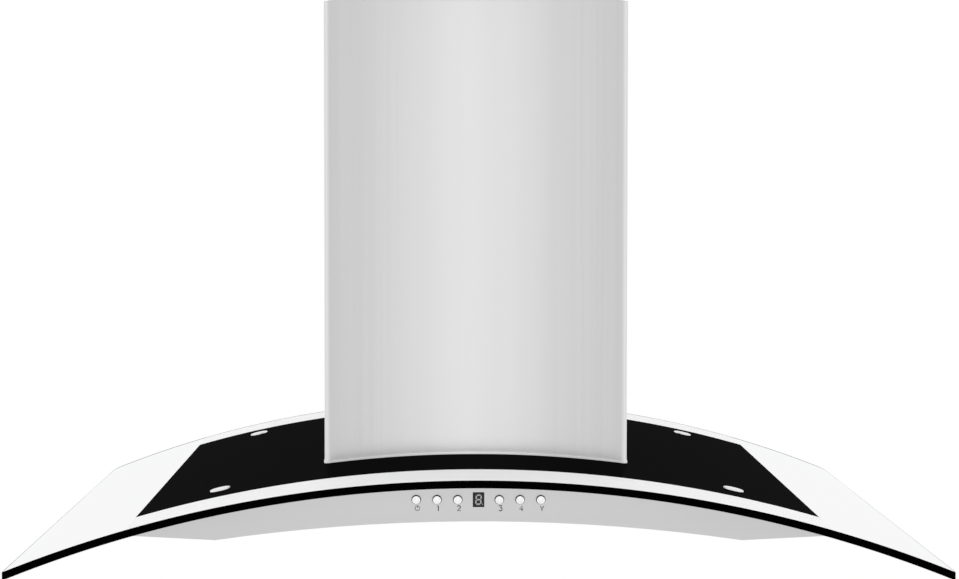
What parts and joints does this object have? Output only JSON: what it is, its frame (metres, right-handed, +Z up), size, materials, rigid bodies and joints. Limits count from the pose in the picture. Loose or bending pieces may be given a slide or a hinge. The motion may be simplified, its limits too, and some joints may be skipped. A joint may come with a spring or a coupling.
{
  "type": "island range hood",
  "caption": "Ceiling-hung island range hood with an arched glass canopy, telescoping square chimney, push-button controls, swing-down baffle filters and a ducted blower.",
  "frame": {"origin": "centre of the ceiling bolt pattern, on the ceiling plate's top face", "axes": "+X to the user's right along the glass's length, -Y the front with the buttons, +Z up into the ceiling"},
  "size_m": [0.9, 0.65, 0.5619],
  "materials": {
    "cover_steel": "brushed along the height",
    "body_steel": "brushed along the width",
    "bright_steel": "polished",
    "clear_glass": "clear toughened glass",
    "black_enamel": "black ceramic print",
    "rubber": "matt",
    "zinc_steel": "zinc plated",
    "dark_screw": "blackened",
    "black_plastic": "moulded",
    "grey_plastic": "moulded",
    "white_plastic": "moulded",
    "motor_metal": "dip coated",
    "circuit_board": "solder resist",
    "display": "smoked window",
    "lamp_lens": "frosted",
    "filter_steel": "satin"
  },
  "bodies": {
    "ceiling": {"ceiling_plate": "zinc_steel", "upper_chimney_cover": "cover_steel", "upper_cover_screws": "dark_screw", "upper_rails": "zinc_steel"},
    "hood": {"lower_rails": "zinc_steel", "rail_screws": "dark_screw", "frame_ring": "zinc_steel", "frame_bolts": "dark_screw", "lower_chimney_cover": "cover_steel", "cover_glide_pads": "black_plastic", "cover_brackets": "zinc_steel", "glass_canopy": "clear_glass", "glass_mask": "black_enamel", "glass_gasket": "rubber", "glass_bolt_caps": "bright_steel", "glass_bolts": "zinc_steel", "glass_bushes": "black_plastic", "glass_nuts": "zinc_steel", "top_plate": "body_steel", "bottom_pan": "body_steel", "front_panel": "body_steel", "rear_panel": "body_steel", "blower_box": "zinc_steel", "scroll_left": "grey_plastic", "scroll_right": "grey_plastic", "motor": "motor_metal", "motor_bracket": "zinc_steel", "duct_adaptor": "zinc_steel", "duct_collar": "zinc_steel", "damper_rod": "bright_steel", "junction_box": "zinc_steel", "cable_gland": "black_plastic", "run_capacitor": "white_plastic", "lamp_driver": "white_plastic", "control_board": "circuit_board", "control_carrier": "black_plastic", "button_switches": "black_plastic", "display_module": "black_plastic", "display_window": "display", "lamp_front_left": "bright_steel", "lamp_front_right": "bright_steel", "lamp_rear_left": "bright_steel", "lamp_rear_right": "bright_steel", "lamp_lenses": "lamp_lens"},
    "rotor": {"impeller": "grey_plastic", "motor_shaft": "bright_steel"},
    "power_button_body": {"power_button": "bright_steel"},
    "speed_1_button_body": {"speed_1_button": "bright_steel"},
    "speed_2_button_body": {"speed_2_button": "bright_steel"},
    "speed_3_button_body": {"speed_3_button": "bright_steel"},
    "speed_4_button_body": {"speed_4_button": "bright_steel"},
    "lamp_button_body": {"lamp_button": "bright_steel"},
    "damper_front": {"damper_flap_front": "zinc_steel"},
    "damper_rear": {"damper_flap_rear": "zinc_steel"},
    "filter_left": {"filter_frame_left": "filter_steel", "filter_baffles_left": "filter_steel"},
    "latch_left": {"filter_latch_left": "black_plastic"},
    "filter_right": {"filter_frame_right": "filter_steel", "filter_baffles_right": "filter_steel"},
    "latch_right": {"filter_latch_right": "black_plastic"}
  },
  "joints": [
    {"name": "height_slide", "type": "slide", "parent": "ceiling", "child": "hood", "axis": [0, 0, -1], "range_m": [0, 0.35]},
    {"name": "rotor_spin", "type": "hinge", "parent": "hood", "child": "rotor", "pos_m": [0, -0.025, -0.344], "axis": [1, 0, 0], "continuous": true},
    {"name": "power_button_press", "type": "slide", "parent": "hood", "child": "power_button_body", "axis": [0, 1, 0], "range_m": [0, 0.0012], "stiffness_N_per_m": 600, "springref_m": -0.0012},
    {"name": "speed_1_button_press", "type": "slide", "parent": "hood", "child": "speed_1_button_body", "axis": [0, 1, 0], "range_m": [0, 0.0012], "stiffness_N_per_m": 600, "springref_m": -0.0012},
    {"name": "speed_2_button_press", "type": "slide", "parent": "hood", "child": "speed_2_button_body", "axis": [0, 1, 0], "range_m": [0, 0.0012], "stiffness_N_per_m": 600, "springref_m": -0.0012},
    {"name": "speed_3_button_press", "type": "slide", "parent": "hood", "child": "speed_3_button_body", "axis": [0, 1, 0], "range_m": [0, 0.0012], "stiffness_N_per_m": 600, "springref_m": -0.0012},
    {"name": "speed_4_button_press", "type": "slide", "parent": "hood", "child": "speed_4_button_body", "axis": [0, 1, 0], "range_m": [0, 0.0012], "stiffness_N_per_m": 600, "springref_m": -0.0012},
    {"name": "lamp_button_press", "type": "slide", "parent": "hood", "child": "lamp_button_body", "axis": [0, 1, 0], "range_m": [0, 0.0012], "stiffness_N_per_m": 600, "springref_m": -0.0012},
    {"name": "damper_front_swing", "type": "hinge", "parent": "hood", "child": "damper_front", "pos_m": [0, 0, -0.118], "axis": [-1, 0, 0], "range_deg": [0, 75]},
    {"name": "damper_rear_swing", "type": "hinge", "parent": "hood", "child": "damper_rear", "pos_m": [0, 0, -0.118], "axis": [1, 0, 0], "range_deg": [0, 75]},
    {"name": "filter_left_swing", "type": "hinge", "parent": "hood", "child": "filter_left", "pos_m": [-0.20917, 0, -0.5179], "axis": [0, 1, 0], "range_deg": [0, 80]},
    {"name": "filter_right_swing", "type": "hinge", "parent": "hood", "child": "filter_right", "pos_m": [0.20917, 0, -0.5179], "axis": [0, -1, 0], "range_deg": [0, 80]},
    {"name": "latch_left_slide", "type": "slide", "parent": "filter_left", "child": "latch_left", "axis": [-0.998, 0, -0.0631], "range_m": [0, 0.0065], "stiffness_N_per_m": 400, "springref_m": -0.004},
    {"name": "latch_right_slide", "type": "slide", "parent": "filter_right", "child": "latch_right", "axis": [0.998, 0, -0.0631], "range_m": [0, 0.0065], "stiffness_N_per_m": 400, "springref_m": -0.004}
  ]
}
